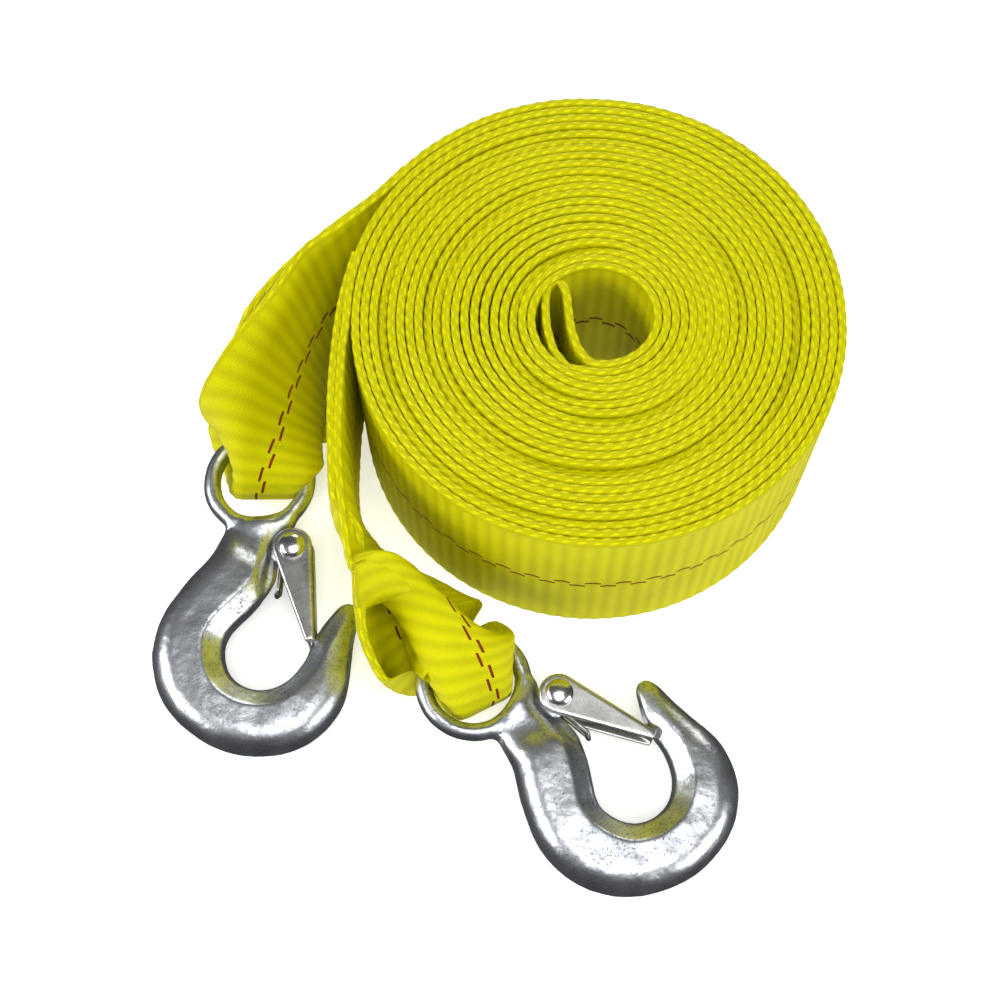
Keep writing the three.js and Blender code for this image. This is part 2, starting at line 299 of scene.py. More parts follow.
steelLook = {
    "bright": (0.66, 0.69, 0.73),
    "dull": (0.46, 0.48, 0.51),
    "pit": (0.12, 0.12, 0.13),
    "grain": 1700.0,             # per metre
    "broad": 420.0,
    "mottle": 150.0,
}


def forgedMaterial():
    bench = Bench("forgedZinc")
    place = bench.objectPlace()
    mottle = bench.noise(place, steelLook["mottle"], 4.0, 0.6)
    grain = bench.noise(place, steelLook["grain"], 3.0, 0.65)
    broad = bench.noise(place, steelLook["broad"], 3.0, 0.6)
    speckle = grain.ramp(0.50, 0.68) * mottle.ramp(0.3, 0.62)
    colour = bench.mix(mottle.ramp(0.38, 0.66), steelLook["bright"], steelLook["dull"])
    colour = bench.mix(speckle * 0.85, colour, steelLook["pit"])
    rough = 0.27 + mottle * 0.12 + speckle * 0.15
    normal = bench.bump(grain * 0.6 + broad * 0.3, 0.0001, 0.6)
    return bench.finish(Base_Color=colour, Roughness=rough, Metallic=1.0, Normal=normal)


def sheetMaterial():
    bench = Bench("pressedZinc")
    place = bench.objectPlace()
    scuff = bench.noise(place, 900.0, 5.0, 0.7)
    cloud = bench.noise(place, 160.0, 3.0)
    colour = bench.mix(cloud.ramp(0.3, 0.7), (0.42, 0.42, 0.40), (0.62, 0.62, 0.60))
    rough = 0.22 + scuff * 0.14
    normal = bench.bump(scuff, 0.00006, 0.5)
    return bench.finish(Base_Color=colour, Roughness=rough, Metallic=1.0, Normal=normal)


def rivetMaterial():
    bench = Bench("rivetZinc")
    place = bench.objectPlace()
    scuff = bench.noise(place, 1500.0, 4.0, 0.6)
    colour = bench.mix(scuff.ramp(0.4, 0.7), (0.72, 0.72, 0.73), (0.5, 0.5, 0.5))
    normal = bench.bump(scuff, 0.00005, 0.5)
    return bench.finish(Base_Color=colour, Roughness=0.16 + scuff * 0.12, Metallic=1.0, Normal=normal)


def wireMaterial():
    bench = Bench("springSteel")
    place = bench.objectPlace()
    scuff = bench.noise(place, 1200.0, 3.0)
    colour = bench.mix(scuff.ramp(0.3, 0.7), (0.22, 0.22, 0.23), (0.42, 0.42, 0.43))
    return bench.finish(Base_Color=colour, Roughness=0.22 + scuff * 0.15, Metallic=1.0,
                        Normal=bench.bump(scuff, 0.00004, 0.4))


def floorMaterial():
    bench = Bench("paleFloor")
    grain = bench.noise(bench.objectPlace(), 40.0, 2.0)
    low = tuple(value - 0.01 for value in studio["floorColour"])
    return bench.finish(Base_Color=bench.mix(grain, low, studio["floorColour"]), Roughness=0.85,
                        Emission_Color=(1, 1, 1, 1), Emission_Strength=studio["floorGlow"])


def makeFloor():
    half = studio["floorSize"] / 2
    mesh = bpy.data.meshes.new("studioFloor")
    corners = [(-half, -half, 0), (half, -half, 0), (half, half, 0), (-half, half, 0)]
    mesh.from_pydata(corners, [], [(0, 1, 2, 3)])
    floor = bpy.data.objects.new("studioFloor", mesh)
    bpy.context.scene.collection.objects.link(floor)
    mesh.materials.append(floorMaterial())
    floor.visible_glossy = False     # the steel mirrors the dim room, not the floor


setCamera()
setLights()
makeFloor()
materials = {
    "webbing": webbingMaterial(),
    "forged": forgedMaterial(),
    "sheet": sheetMaterial(),
    "rivet": rivetMaterial(),
    "wire": wireMaterial(),
}
print("studio and materials ready")


def putMesh(name, points, faces, material, smooth=True):
    mesh = bpy.data.meshes.new(name)
    mesh.from_pydata(np.asarray(points).tolist(), [], np.asarray(faces).tolist())
    mesh.materials.append(material)
    mesh.shade_smooth() if smooth else mesh.shade_flat()
    mesh.update()
    piece = bpy.data.objects.new(name, mesh)
    bpy.context.scene.collection.objects.link(piece)
    return piece


def lifted(height, reach=0.75, rest=0.05):
    # mm: what would sink into the floor comes to rest on it
    return np.where(height < reach + rest, rest + reach * np.exp((height - reach - rest) / reach), height)


def through(rows, step):
    # a smooth curve through every row of numbers, sampled evenly along its first three
    rows = np.asarray(rows, float)
    gap = np.linalg.norm(np.diff(rows[:, :3], axis=0), axis=1)
    knot = np.concatenate([[0], np.cumsum(np.sqrt(gap))])
    slope = np.gradient(rows, knot, axis=0)
    fine = np.linspace(0, knot[-1], 4000)
    part = np.clip(np.searchsorted(knot, fine, side="right") - 1, 0, len(knot) - 2)
    width = (knot[part + 1] - knot[part])[:, None]
    t = (fine[:, None] - knot[part][:, None]) / width
    curve = ((2 * t**3 - 3 * t**2 + 1) * rows[part] + (t**3 - 2 * t**2 + t) * width * slope[part]
             + (3 * t**2 - 2 * t**3) * rows[part + 1] + (t**3 - t**2) * width * slope[part + 1])
    run = np.concatenate([[0], np.cumsum(np.linalg.norm(np.diff(curve[:, :3], axis=0), axis=1))])
    count = max(2, int(round(run[-1] / step)) + 1)
    even = np.linspace(0, run[-1], count)
    return np.stack([np.interp(even, run, curve[:, column]) for column in range(rows.shape[1])], axis=1)


# ---- the webbing

strap = {
    "width": 50.0,               # mm, as all sizes of the webbing
    "thickness": 2.06,
    "rollRadius": 57.8,
    "plyPitch": 2.08,
    "foldRadius": 4.0,           # of a section that isn't folded
    "edgeRound": 0.35,           # how the thickness runs out at the selvedge
    "scallop": 0.04,
    "fray": 0.1,
    "outerRadius": 58.9,         # middle of the outer ply where the left tail leaves
    "leftLeaves": 138.0,         # degrees round the roll
    "rightLeaves": 176.0,
    "foldAt": -3700.0,           # where the turns end in the hairpin
    "ribPitch": 3.5,
    "ribHeight": 0.075,
    "unevenness": 1.9,           # how far some turns' edges lie below the others
    "farBulge": 1.3,             # the roll is a little oval, towards the far side
}

webbingLow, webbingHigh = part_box("webbing")
rollAxis = np.array([webbingHigh.x, webbingHigh.y]) / mm - strap["rollRadius"]


def wave(turns, seed):
    # a smooth random wave along the turns, about -1 to 1
    rng = np.random.default_rng(seed)
    total = np.zeros_like(turns)
    for octave in (0.37, 0.9, 2.1, 4.3):
        total += np.sin(2 * np.pi * (turns * octave + rng.random())) / (1 + octave)
    return total / 1.6


def spiral(degrees, ply):
    # the roll's turns seen from above: ply 0 is the outer one of the doubled band, ply 1 the inner
    turns = (strap["leftLeaves"] - degrees) / 360
    radius = strap["outerRadius"] - 2 * strap["plyPitch"] * turns - ply * strap["plyPitch"]
    angle = np.radians(degrees)
    core = np.clip((34 - radius) / 16, 0, 1)
    core = core * core * (3 - 2 * core)
    # the turns round the hairpin lie a little off the roll's axis
    radius = radius + core * (1.15 * np.cos(angle) - 0.5 * np.sin(angle) + 0.35 * np.cos(2 * angle) - 0.35)
    radius = radius + 0.1 * wave(turns * 3, 11)
    farSide = np.clip(np.sin(angle), 0, 1)
    radius = radius + strap["farBulge"] * farSide * (radius / strap["outerRadius"]) ** 4
    sink = np.clip(wave(turns * 0.8 + ply * 0.37, 5 + ply) - 0.25, 0, 1) * strap["unevenness"]
    low = 0.12 + 0.12 * np.abs(wave(turns, 21 + ply))
    high = strap["width"] + 0.2 - sink + 0.1 * wave(turns * 4, 17 + ply)
    rows = np.zeros((len(degrees), 11))
    rows[:, 0] = radius * np.cos(angle)
    rows[:, 1] = radius * np.sin(angle)
    rows[:, 2] = (low + high) / 2
    rows[:, 5] = 1                           # the width stands upright
    rows[:, 6] = high - low
    rows[:, 8] = strap["width"] / 2          # flat all the way across
    rows[:, 9] = strap["foldRadius"]
    return rows


def ribbon(name, rows, startAlong, acrossPlaces, material):
    # a row: place, direction of the width, width, middle of the fold, flat half width,
    # radius of the fold, angle of the fold
    place = rows[:, :3]
    tangent = np.gradient(place, axis=0)
    tangent /= np.linalg.norm(tangent, axis=1)[:, None]
    across = rows[:, 3:6] / np.linalg.norm(rows[:, 3:6], axis=1)[:, None]
    normal = np.cross(tangent, across)
    normal /= np.linalg.norm(normal, axis=1)[:, None]
    run = startAlong + np.concatenate([[0], np.cumsum(np.linalg.norm(np.diff(place, axis=0), axis=1))])
    half = strap["width"] / 2
    v = np.array(acrossPlaces)
    scale = rows[:, 6:7] / strap["width"]
    # the section: flat in its middle, then bent round on both sides
    fine = np.linspace(-half, half, 101)
    off = fine[None, :] - rows[:, 7:8]
    flat, radius, fold = rows[:, 8:9], rows[:, 9:10], np.maximum(rows[:, 10:11], 0.001)
    bend = np.clip((np.abs(off) - flat) / (radius * fold), 0, 1) * fold * np.sign(off)
    mean = (bend[:, 1:] + bend[:, :-1]) / 2
    stepSize = fine[1] - fine[0]
    start = np.zeros((len(rows), 1))
    runY = np.concatenate([start, np.cumsum(np.cos(mean) * stepSize, axis=1)], axis=1)
    runN = np.concatenate([start, np.cumsum(np.sin(mean) * stepSize, axis=1)], axis=1)
    runY -= runY[:, 50:51]
    runN -= runN[:, 50:51]
    where = (v + half) / stepSize
    base = np.minimum(where.astype(int), len(fine) - 2)
    part = where - base

    def pick(table):
        return table[:, base] * (1 - part) + table[:, base + 1] * part
    y = pick(runY) * scale
    n = pick(runN) * scale
    angle = pick(bend)
    # both faces bulge at each rib, and thin out at the selvedge
    phase = 2 * np.pi * run / strap["ribPitch"]
    rib = strap["ribHeight"] * np.cos(phase)[:, None]
    over = np.clip((np.abs(v) - half + strap["edgeRound"]) / strap["edgeRound"], 0, 1)
    taper = np.sqrt(1 - over ** 2)
    thick = (strap["thickness"] / 2 - strap["ribHeight"] + rib) * taper
    edge = (np.abs(v) > half - 0.3) * np.sign(v)
    y = y + edge * (strap["scallop"] * np.cos(2 * phase) + strap["fray"] * wave(run / 40, 31))[:, None]
    acrossWay, normalWay = across[:, None, :], normal[:, None, :]
    sideways = acrossWay * -np.sin(angle)[:, :, None] + normalWay * np.cos(angle)[:, :, None]
    middle = place[:, None, :] + acrossWay * y[:, :, None] + normalWay * n[:, :, None]
    front = middle - sideways * thick[:, :, None]
    back = middle + sideways * thick[:, :, None]
    # round each section: the outer face, then the inner face the other way, sharing both edges
    ring = np.concatenate([front, back[:, -2:0:-1]], axis=1)
    ring[:, :, 2] = lifted(ring[:, :, 2])
    count, sides = ring.shape[:2]
    index = np.arange(count * sides).reshape(count, sides)
    left, right = index[:-1], index[1:]
    quads = [left, right, np.roll(right, -1, axis=1), np.roll(left, -1, axis=1)]
    faces = np.stack(quads, axis=-1).reshape(-1, 4)
    caps = []
    for end, flip in ((0, False), (count - 1, True)):
        for j in range(len(v) - 1):
            spots = (j, j + 1, (sides - j - 1) % sides, (sides - j) % sides)
            corners = list(dict.fromkeys(int(index[end, spot]) for spot in spots))
            caps.append(corners[::-1] if flip else corners)
    mesh = bpy.data.meshes.new(name)
    mesh.from_pydata((ring.reshape(-1, 3) * mm).tolist(), [], faces.tolist() + caps)
    mesh.materials.append(material)
    acrossAll = np.concatenate([v, v[-2:0:-1]])
    depthAll = np.concatenate([-taper, taper[-2:0:-1]])
    loops = np.empty(len(mesh.loops), int)
    mesh.loops.foreach_get("vertex_index", loops)
    step, spot = loops // sides, loops % sides
    for label, second in (("weave", acrossAll[spot]), ("edge", depthAll[spot])):
        layer = mesh.uv_layers.new(name=label)
        layer.data.foreach_set("uv", np.stack([run[step], second], axis=1).ravel() * mm)
    mesh.shade_smooth()
    mesh.update()
    piece = bpy.data.objects.new(name, mesh)
    bpy.context.scene.collection.objects.link(piece)
    return piece, run[-1] - run[0]


def worldRows(rows):
    rows = rows.copy()
    rows[:, :2] += rollAxis
    return rows


def stationRows(stations):
    # each row as ribbon() takes it, in mm, with the angle of the fold in degrees
    rows = np.array(stations, float)
    rows[:, 10] = np.radians(rows[:, 10])
    return rows


# where the points of a section stand across the width, close together at the selvedges
edgePlaces = [24.3, 24.75, 25.0]
corePlaces = [-v for v in edgePlaces[::-1]] + [-23.4, 23.4] + edgePlaces
facePlaces = corePlaces[:4] + list(np.linspace(-22, 22, 27)) + corePlaces[4:]

hairpin = [
    # the left leg, the bend and the right leg, from the outer ply to the inner one
    (-6.4, -13.2), (-9.6, -8.6), (-11.0, -2.5), (-11.3, 3.5), (-10.9, 7.6), (-9.4, 9.9), (-7.5, 9.6),
    (-6.3, 6.8), (-5.9, 2.0), (-5.4, -3.0), (-3.9, -8.2), (-1.6, -11.2),
]

# each tail from above the roll's edge, round the eye's bar and back
leftTail = stationRows([
    (-51.4, 31.0, 25.0, 0.0, 0.0, 1.0, 49.6, 0, 12, 30, 6),
    (-58.0, 23.8, 25.0, -0.02, 0.04, 1.0, 49.4, 0, 12, 40, 6),
    (-64.2, 16.4, 24.8, -0.12, 0.05, 0.98, 49.2, 0, 12, 40, 8),
    (-69.2, 6.8, 23.8, -0.18, 0.05, 0.98, 48.6, 0, 14, 30, 12),
    (-72.6, -2.8, 22.6, -0.35, 0.02, 0.93, 47.6, 0, 12, 20, 30),
    (-74.8, -10.4, 21.4, -0.52, 0.0, 0.85, 46.4, 0, 11, 12, 58),
    (-76.6, -17.6, 19.8, -0.78, 0.0, 0.62, 45.0, -1, 9, 7, 104),
    (-78.8, -23.4, 17.2, -0.96, 0.0, 0.26, 43.0, -3, 9, 3.2, 155),
    (-80.8, -27.4, 12.4, -1.0, -0.04, 0.06, 41.0, -3, 8.0, 2.0, 172),
    (-81.8, -27.0, 6.4, -1.0, 0.0, 0.0, 40.0, -1.5, 7.6, 2.0, 172),
    (-82.4, -20.6, 2.6, -1.0, 0.03, 0.0, 41.0, 0, 8.0, 1.8, 174),
    (-83.4, -13.2, 2.4, -1.0, 0.04, 0.06, 43.0, 0, 9.6, 2.4, 160),
    (-82.6, -6.4, 6.0, -0.90, 0.04, 0.42, 45.0, 0, 10, 5.0, 120),
    (-79.0, 0.8, 13.2, -0.62, 0.0, 0.78, 47.0, 0, 10, 10, 72),
    (-73.6, 8.6, 20.0, -0.36, 0.04, 0.93, 48.4, 0, 12, 24, 26),
    (-66.8, 17.8, 23.2, -0.14, 0.05, 0.98, 49.0, 0, 12, 40, 10),
    (-59.8, 26.2, 24.4, -0.02, 0.04, 1.0, 49.2, 0, 12, 40, 6),
    (-52.8, 33.6, 24.6, 0.0, 0.0, 1.0, 49.4, 0, 12, 30, 6),
    (-45.4, 41.8, 24.6, 0.0, 0.0, 1.0, 49.4, 0, 12, 30, 6),
])
rightTail = stationRows([
    (-57.4, -8.0, 25.0, 0.0, 0.0, 1.0, 49.6, 0, 12, 30, 4),
    (-57.6, -20.0, 25.0, 0.0, 0.0, 1.0, 49.5, 0, 12, 30, 4),
    (-57.2, -31.0, 25.0, 0.0, -0.06, 1.0, 49.4, 0, 12, 30, 5),
    (-55.8, -40.0, 25.0, 0.0, -0.2, 0.98, 49.2, 0, 10, 30, 6),
    (-52.2, -47.2, 25.6, -0.02, -0.36, 0.92, 48.6, 0, 6, 40, 14),
    (-46.4, -53.0, 27.4, -0.14, -0.12, 0.96, 48.0, 0, 2, 32, 40),
    (-40.2, -57.8, 29.4, -0.34, 0.34, 0.88, 47.4, 1, 1, 20, 66),
    (-34.6, -62.4, 29.6, -0.68, 0.34, 0.64, 47.0, 2, 1, 13, 98),
    (-30.2, -67.2, 27.2, -0.92, 0.12, 0.36, 46.0, 2.5, 1, 13, 108),
    (-26.6, -72.4, 23.0, -0.96, -0.12, 0.12, 44.0, 3, 3, 10, 120),
    (-24.0, -77.6, 17.0, -0.94, -0.33, 0.0, 42.0, 4, 6, 4.6, 145),
    (-23.2, -80.4, 10.4, -0.90, -0.43, 0.0, 40.0, 3, 6.6, 2.0, 172),
    (-25.4, -78.8, 4.4, -0.86, -0.51, 0.0, 40.0, 1.5, 7.2, 1.8, 174),
    (-31.0, -73.4, 2.3, -0.84, -0.545, 0.0, 41.0, 0, 8, 1.8, 174),
    (-38.0, -70.2, 2.8, -0.74, -0.66, 0.10, 43.0, 0, 9, 3, 140),
    (-43.6, -66.8, 4.8, -0.70, -0.64, 0.18, 44.0, -6, 8, 12, 76),
    (-47.2, -61.0, 9.8, -0.78, -0.40, 0.38, 45.0, -8, 6, 19, 72),
    (-50.4, -55.0, 15.8, -0.62, -0.28, 0.70, 46.0, -8, 6, 25, 56),
    (-54.6, -48.6, 21.0, -0.30, -0.20, 0.92, 47.0, -6, 8, 26, 40),
    (-58.8, -41.0, 24.2, -0.06, -0.14, 0.99, 49.2, 0, 12, 30, 10),
    (-60.7, -31.0, 24.8, 0.0, -0.02, 1.0, 49.4, 0, 12, 30, 6),
    (-60.9, -20.0, 24.8, 0.0, 0.0, 1.0, 49.4, 0, 12, 30, 4),
    (-60.4, -6.0, 24.8, 0.0, 0.0, 1.0, 49.4, 0, 12, 30, 4),
    (-59.2, 5.6, 24.8, 0.0, 0.0, 1.0, 49.4, 0, 12, 30, 4),
    (-56.6, 17.6, 24.8, 0.0, 0.0, 1.0, 49.4, 0, 12, 30, 4),
])


def makeWebbing():
    lastLeft = strap["leftLeaves"] - 360
    lastRight = strap["rightLeaves"] - 360
    fold = strap["foldAt"]
    leg = np.zeros((len(hairpin), 11))
    leg[:, :2] = hairpin
    leg[:, 2:] = (24.9, 0, 0, 1, 49.2, 0, strap["width"] / 2, strap["foldRadius"], 0)
    inward = spiral(np.arange(lastLeft, fold, -2.0), 0)
    outward = spiral(np.arange(fold + 4, lastRight + 0.1, 2.0), 1)
    coreRows = resample(np.concatenate([inward, leg, outward]), 1.05)
    core, coreLength = ribbon("webbing_core", worldRows(coreRows), 0.0, corePlaces, materials["webbing"])
    # the outer turns and their tails carry the ribs on from the core's two ends
    leftTurn = spiral(np.arange(lastLeft, strap["leftLeaves"] + 0.1, 2.0), 0)
    leftRows = resample(np.concatenate([leftTurn, through(leftTail, 2.0)]), 0.6)
    left, leftLength = ribbon("webbing_left", worldRows(leftRows), 0.0, facePlaces, materials["webbing"])
    rightTurn = spiral(np.arange(lastRight, strap["rightLeaves"] + 0.1, 2.0), 1)
    rightRows = resample(np.concatenate([rightTurn, through(rightTail, 2.0)]), 0.6)
    right, rightLength = ribbon("webbing_right", worldRows(rightRows), coreLength, facePlaces,
                                materials["webbing"])
    for piece, length in ((core, coreLength), (left, leftLength), (right, rightLength)):
        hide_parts("webbing")
        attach(piece, "strap")
        length * mm
        print(piece.name, "length", round(length), "mm,", len(piece.data.polygons), "faces")


def resample(rows, step):
    run = np.concatenate([[0], np.cumsum(np.linalg.norm(np.diff(rows[:, :3], axis=0), axis=1))])
    keep = np.concatenate([[True], np.diff(run) > 1e-6])
    rows, run = rows[keep], run[keep]
    even = np.linspace(0, run[-1], int(run[-1] / step) + 1)
    out = np.stack([np.interp(even, run, rows[:, column]) for column in range(rows.shape[1])], axis=1)
    # a short running mean rounds the joins between turns and tails
    size = max(3, int(3.0 / step) | 1)
    kernel = np.hanning(size + 2)[1:-1]
    kernel /= kernel.sum()
    padded = np.pad(out, ((size // 2, size // 2), (0, 0)), mode="edge")
    columns = [np.convolve(padded[:, column], kernel, "valid") for column in range(out.shape[1])]
    smooth = np.stack(columns, axis=1)
    smooth[0], smooth[-1] = out[0], out[-1]
    return smooth


makeWebbing()
print("webbing ready")


# ---- the hooks

hook = {
    "eyeRadius": 11.7,           # mm, to the middle of the bar
    "eyeBar": (2.1, 2.35),       # half sizes, in and across the hook's plane
    "rivet": (18.6, 7.8),
    "latchEnd": 4.8,
    "latchReach": 24.2,
    "latchRise": 4.1,
    "latchOpening": 28.0,
    "latchSheet": 1.1,
    "latchInner": 3.1,           # half the room between the cheeks
    "latchWeb": 20.5,            # from the rivet to the web that ties the cheeks at the tip
    "pocketRoom": 0.3,           # between a cheek and its pocket in the forging
    "finHalf": 0.45,             # half the thickness of the parting line, and how far it stands out
    "finReach": 0.32,
    "heading": {"left": -85.6, "right": -31.9},      # degrees, from the eye to the bowl
    "noiseSeed": 5,
    "bossHalf": 1.5,
    "bossRadius": 4.5,
    "outerRound": 6.4,
    "innerRound": 4.6,
    "cell": 0.36,
}

backEdge = [
    (10.4, -4.6), (12.4, -8.2), (18.3, -11.9), (23.2, -16.6), (28.3, -21.0), (33.2, -24.2), (38.3, -26.0),
    (43.3, -26.6), (48.5, -26.0), (53.3, -24.3), (57.6, -21.6), (61.3, -18.0), (64.2, -14.2), (66.4, -10.0),
    (67.8, -5.0), (68.3, 0.0), (67.9, 4.3), (66.7, 8.2), (64.8, 11.6), (62.3, 14.5), (59.4, 16.8),
    (56.3, 18.4),
    (52.3, 19.5), (48.3, 20.1), (44.3, 20.7), (40.3, 21.6), (37.6, 22.3), (35.6, 22.5), (34.0, 21.9),
    (33.3, 20.6),
]
throatEdge = [
    (33.3, 20.6), (33.7, 19.0), (35.6, 16.8), (38.3, 14.3), (42.3, 11.6), (46.0, 10.0), (48.9, 7.9),
    (51.4, 5.2),
    (52.8, 2.0), (53.1, -0.6), (52.6, -3.4), (51.3, -6.0), (49.3, -8.1), (46.6, -9.4), (43.3, -9.8),
    (40.5, -9.4),
    (38.0, -8.0), (35.6, -5.6), (33.3, -3.0), (30.8, -0.6), (28.3, 1.4), (26.2, 2.6), (23.6, 3.3),
    (20.4, 3.7),
    (16.8, 4.4), (14.0, 5.9), (12.0, 7.4), (10.2, 5.6),
]
thicknessAlong = [
    # place and half thickness down the middle of the forging
    (11.0, 0.0, 3.0), (14.0, -2.0, 3.1), (17.0, -4.2, 3.5), (20.5, -6.6, 5.0), (24.0, -9.0, 5.5),
    (31.0, -14.0, 5.9),
    (38.0, -17.3, 6.2), (46.0, -18.0, 6.3), (54.0, -14.5, 6.3), (59.5, -8.0, 6.3), (60.6, 0.0, 6.2),
    (58.0, 9.0, 6.0), (52.0, 14.4, 5.2), (45.5, 15.9, 4.4), (39.6, 18.2, 3.7), (35.4, 20.2, 3.2),
]


def smoothLine(points, step=0.5):
    rows = np.zeros((len(points), 3 + len(points[0]) - 2))
    rows[:, :2] = np.array(points)[:, :2]
    rows[:, 3:] = np.array(points)[:, 2:]
    out = through(rows, step)
    return np.concatenate([out[:, :2], out[:, 3:]], axis=1)


def lineDistance(x, y, line):
    # distance from each place to a line of points, and how far along it the nearest place is
    best = np.full(x.shape, 1e9)
    along = np.zeros(x.shape)
    for number in range(len(line) - 1):
        a, b = line[number], line[number + 1]
        d = b - a
        t = np.clip(((x - a[0]) * d[0] + (y - a[1]) * d[1]) / (d @ d), 0, 1)
        far = np.hypot(x - a[0] - t * d[0], y - a[1] - t * d[1])
        nearer = far < best
        best = np.where(nearer, far, best)
        along = np.where(nearer, number + t, along)
    return best, along


def insideLine(x, y, line):
    inside = np.zeros(x.shape, bool)
    for (ax, ay), (bx, by) in zip(line, np.roll(line, -1, axis=0)):
        crosses = (ay > y) != (by > y)
        edge = ax + (y - ay) / (by - ay if by != ay else 1e-9) * (bx - ax)
        inside ^= crosses & (x < edge)
    return inside


def blendLow(a, b, size):
    # the lower of two fields, with a fillet of that size between them
    h = np.clip(0.5 + 0.5 * (b - a) / size, 0, 1)
    return b + (a - b) * h - size * h * (1 - h)


def blendHigh(a, b, size):
    return -blendLow(-a, -b, size)


def skin(field, low, step):
    # the closed surface where a field on a grid passes nought: one point in each cell that it crosses
    shape = np.array(field.shape) - 1
    total = np.zeros((*shape, 3))
    count = np.zeros(shape)
    for axis in range(3):
        first = np.take(field, range(shape[axis]), axis)
        second = np.take(field, range(1, shape[axis] + 1), axis)
        cross = (first < 0) != (second < 0)
        t = np.where(cross, first / np.where(cross, first - second, 1), 0)
        others = [a for a in range(3) if a != axis]
        for u in (0, 1):
            for v in (0, 1):
                cut = [slice(None)] * 3
                cut[others[0]] = slice(u, shape[others[0]] + u)
                cut[others[1]] = slice(v, shape[others[1]] + v)
                part, hit = t[tuple(cut)], cross[tuple(cut)]
                count += hit
                total[..., axis] += np.where(hit, part, 0)
                total[..., others[0]] += hit * u
                total[..., others[1]] += hit * v
    used = count > 0
    number = np.full(shape, -1)
    number[used] = np.arange(used.sum())
    cell = np.argwhere(used)
    points = low + (cell + total[used] / count[used][:, None]) * step
    quads = []
    for axis in range(3):
        u, v = [(1, 2), (2, 0), (0, 1)][axis]
        first = np.take(field, range(shape[axis]), axis) < 0
        second = np.take(field, range(1, shape[axis] + 1), axis) < 0
        hits = np.argwhere(first != second)
        hits = hits[(hits[:, u] > 0) & (hits[:, u] < shape[u]) & (hits[:, v] > 0) & (hits[:, v] < shape[v])]
        corner = []
        for du, dv in ((1, 1), (0, 1), (0, 0), (1, 0)):
            at = hits.copy()
            at[:, u] -= du
            at[:, v] -= dv
            corner.append(number[tuple(at.T)])
        quad = np.stack(corner, axis=1)
        out = first[tuple(hits.T)]
        quads.append(np.where(out[:, None], quad, quad[:, ::-1]))
    return points, np.concatenate(quads)


def relax(points, faces, rounds):
    # evens the surface out a little, as tumbling and plating do
    for _ in range(rounds):
        total = np.zeros_like(points)
        count = np.zeros(len(points))
        for j in range(4):
            a, b = faces[:, j], faces[:, (j + 1) % 4]
            np.add.at(total, a, points[b])
            np.add.at(total, b, points[a])
            np.add.at(count, a, 1)
            np.add.at(count, b, 1)
        points = points * 0.5 + total / count[:, None] * 0.5
    return points


def latchOutline(margin, opened=0.0):
    # a cheek of the latch, about its rivet
    radius = hook["latchEnd"] + margin
    lean = math.atan2(hook["latchRise"], hook["latchReach"]) - math.radians(opened)
    length = hook["latchReach"] + margin
    angles = np.radians(np.linspace(88, 284, 26))
    points = [(radius * math.cos(a), radius * math.sin(a)) for a in angles]
    points += [(length - 0.4, -1.8 - margin), (length, -1.2)]
    points += [(length, margin + 0.1), (length - 0.5, margin + 0.6)]
    turn = np.array([[math.cos(lean), -math.sin(lean)], [math.sin(lean), math.cos(lean)]])
    return np.array(points) @ turn.T + np.array(hook["rivet"])


def outlineField(x, y, line):
    closed = np.concatenate([line, line[:1]])
    distance, _ = lineDistance(x, y, closed)
    return np.where(insideLine(x, y, line), -distance, distance)


def forgingField():
    cell = hook["cell"]
    low = np.array([-15.5, -29.0, -8.1])
    high = np.array([71.0, 25.0, 8.1])
    xs, ys, zs = [np.arange(a, b, cell) for a, b in zip(low, high)]
    x, y = np.meshgrid(xs, ys, indexing="ij")
    back = smoothLine(backEdge)
    throat = smoothLine(throatEdge)
    outline = outlineField(x, y, np.concatenate([back, throat[1:-1]]))
    toBack, _ = lineDistance(x, y, back)
    toThroat, _ = lineDistance(x, y, throat)
    middle = smoothLine(thicknessAlong)
    _, along = lineDistance(x, y, middle[:, :2])
    half = np.interp(along, np.arange(len(middle)), middle[:, 2])
    share = np.clip(toBack / hook["outerRound"] + 0.02, 0, 1)
    rise = np.sqrt(np.clip(1 - (1 - share) ** 2.2, 0, 1))
    facet = np.clip(0.42 + 0.58 * toThroat / hook["innerRound"], 0, 1)
    crown = half * rise * blendLow(facet, np.ones_like(facet), 0.08)
    crown = np.where(outline < 0, crown, half * 0.42)
    # the latch turns in a pocket on each face of the boss
    cheeks = [latchOutline(hook["pocketRoom"], hook["latchOpening"] * part) for part in (0, 0.5, 1)]
    pocket = np.minimum.reduce([outlineField(x, y, cheek) for cheek in cheeks])
    crown = blendLow(crown, 1.35 + np.clip(pocket, 0, 9) * 1.5, 0.9)
    z = zs[None, None, :]
    body = blendHigh(np.abs(z) - crown[:, :, None], np.repeat(outline[:, :, None], len(zs), axis=2), 0.9)
    # the parting line is a low fin all round
    fin = np.maximum(np.abs(z) - hook["finHalf"], (outline - hook["finReach"])[:, :, None])
    body = blendLow(body, fin, 0.5)
    ringIn, ringUp = hook["eyeBar"]
    ring = np.sqrt(((np.hypot(x, y) - hook["eyeRadius"])[:, :, None] / ringIn) ** 2 + (z / ringUp) ** 2) - 1
    body = blendLow(body, ring * ringIn, 2.6)
    rx, ry = hook["rivet"]
    disc = (np.hypot(x - rx, y - ry) - hook["bossRadius"])[:, :, None]
    boss = blendHigh(np.abs(z) - hook["bossHalf"], disc, 0.5)
    return blendLow(body, boss, 0.8), low, cell


